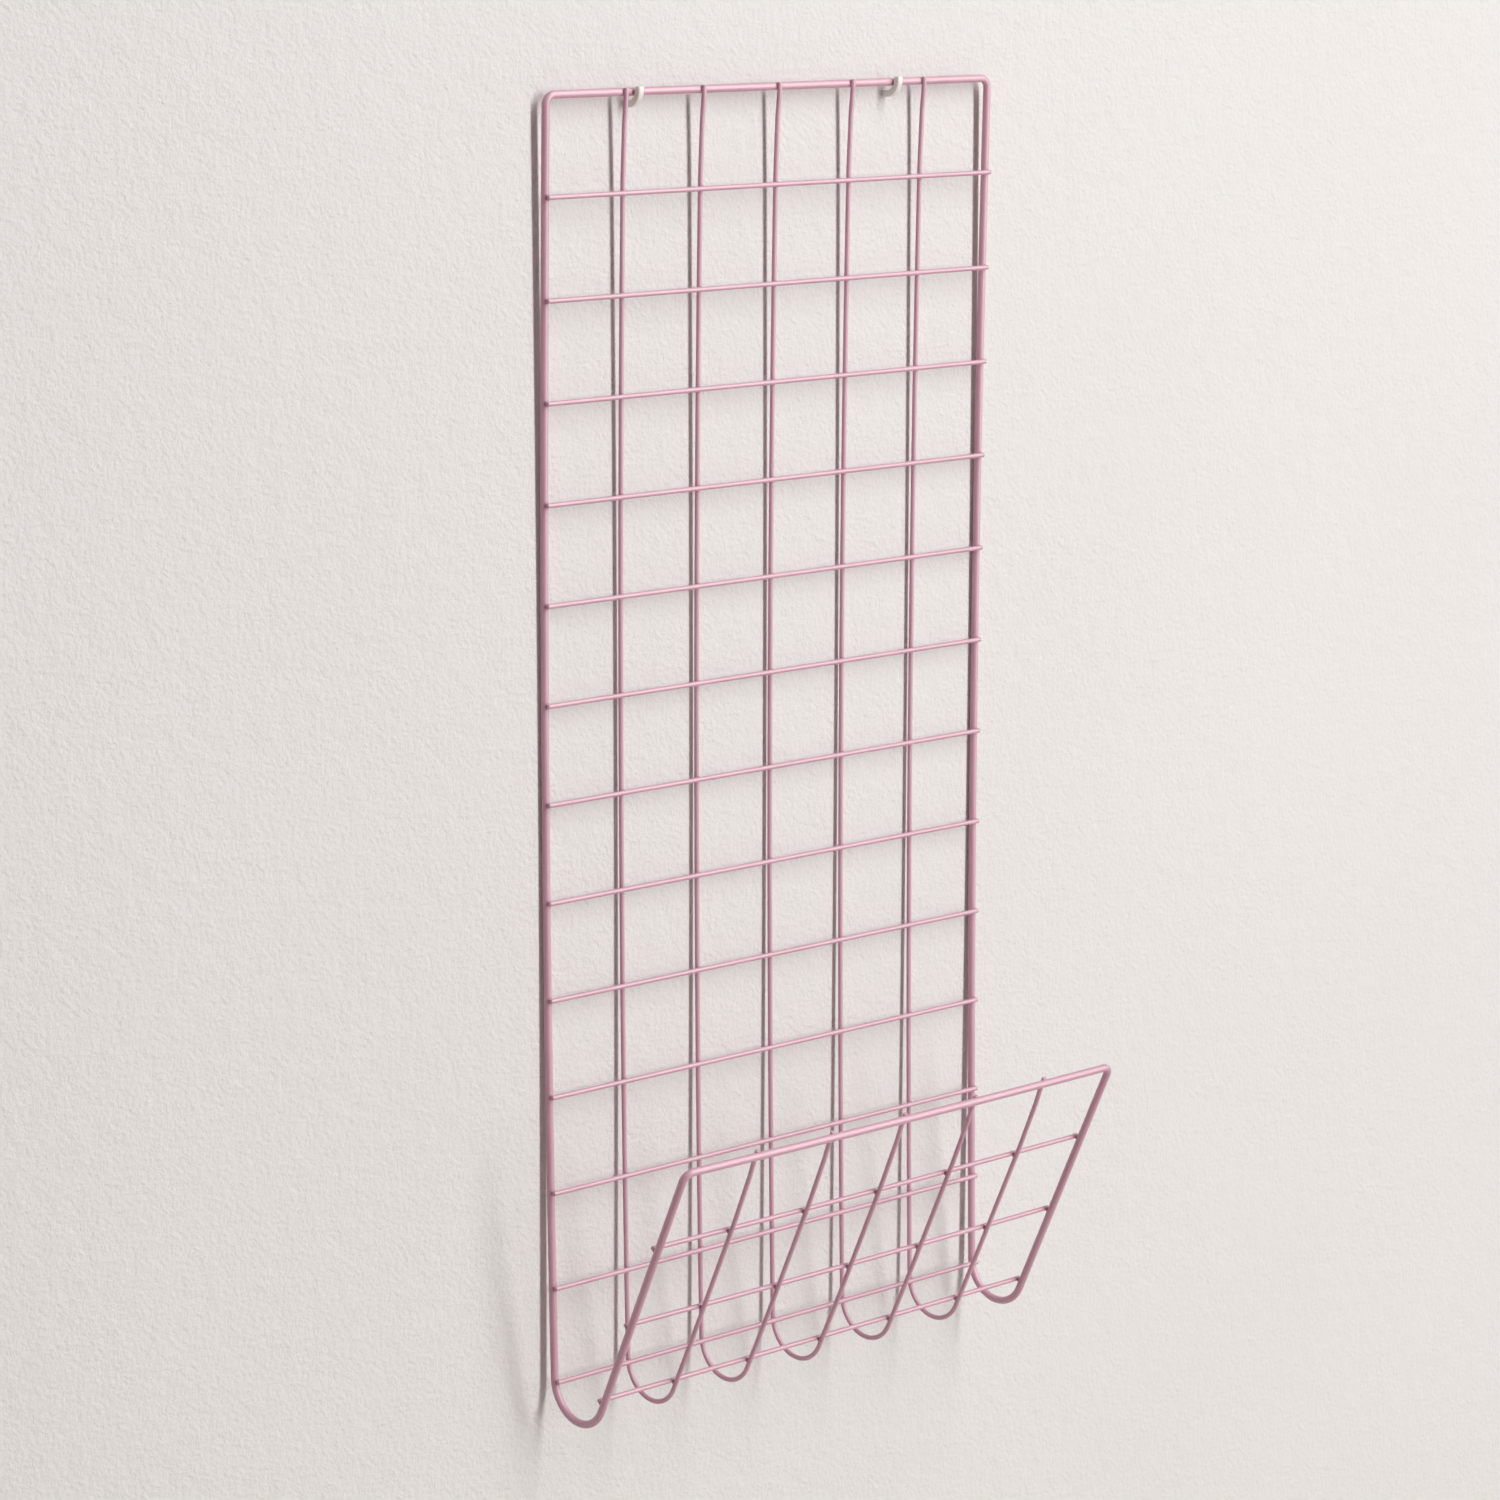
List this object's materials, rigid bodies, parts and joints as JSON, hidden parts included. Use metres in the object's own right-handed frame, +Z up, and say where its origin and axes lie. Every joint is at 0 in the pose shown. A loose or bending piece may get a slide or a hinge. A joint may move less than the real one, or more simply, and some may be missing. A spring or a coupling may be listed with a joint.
{
  "type": "wall magazine rack",
  "caption": "Wall-hung wire mesh rack whose lower end bends up into a sloping pocket for magazines, hung on small hooks.",
  "frame": {"origin": "on the wall plane, under the middle of the rack, at the height of the two hooks' screws", "axes": "+Z up, -Y out of the wall into the room, +X to the right seen from the room"},
  "size_m": [0.3, 0.1349, 0.6702],
  "materials": {
    "pink_powder_coat": "satin powder coat over steel wire",
    "white_plastic": "smooth off-white plastic coat over steel",
    "zinc_plated_steel": "bright zinc plate"
  },
  "bodies": {
    "hooks": {"hook_left": "white_plastic", "hook_screw_left": "zinc_plated_steel", "hook_right": "white_plastic", "hook_screw_right": "zinc_plated_steel"},
    "rack": {"frame_wire": "pink_powder_coat", "long_wire_1": "pink_powder_coat", "long_wire_2": "pink_powder_coat", "long_wire_3": "pink_powder_coat", "long_wire_4": "pink_powder_coat", "long_wire_5": "pink_powder_coat", "back_cross_wire_01": "pink_powder_coat", "back_cross_wire_02": "pink_powder_coat", "back_cross_wire_03": "pink_powder_coat", "back_cross_wire_04": "pink_powder_coat", "back_cross_wire_05": "pink_powder_coat", "back_cross_wire_06": "pink_powder_coat", "back_cross_wire_07": "pink_powder_coat", "back_cross_wire_08": "pink_powder_coat", "back_cross_wire_09": "pink_powder_coat", "back_cross_wire_10": "pink_powder_coat", "back_cross_wire_11": "pink_powder_coat", "back_cross_wire_12": "pink_powder_coat", "back_cross_wire_13": "pink_powder_coat", "front_cross_wire_1": "pink_powder_coat", "front_cross_wire_2": "pink_powder_coat", "front_cross_wire_3": "pink_powder_coat"}
  },
  "joints": [
    {"name": "lift_off", "type": "slide", "parent": "hooks", "child": "rack", "axis": [0, 0, 1], "range_m": [0, 0.03]}
  ]
}
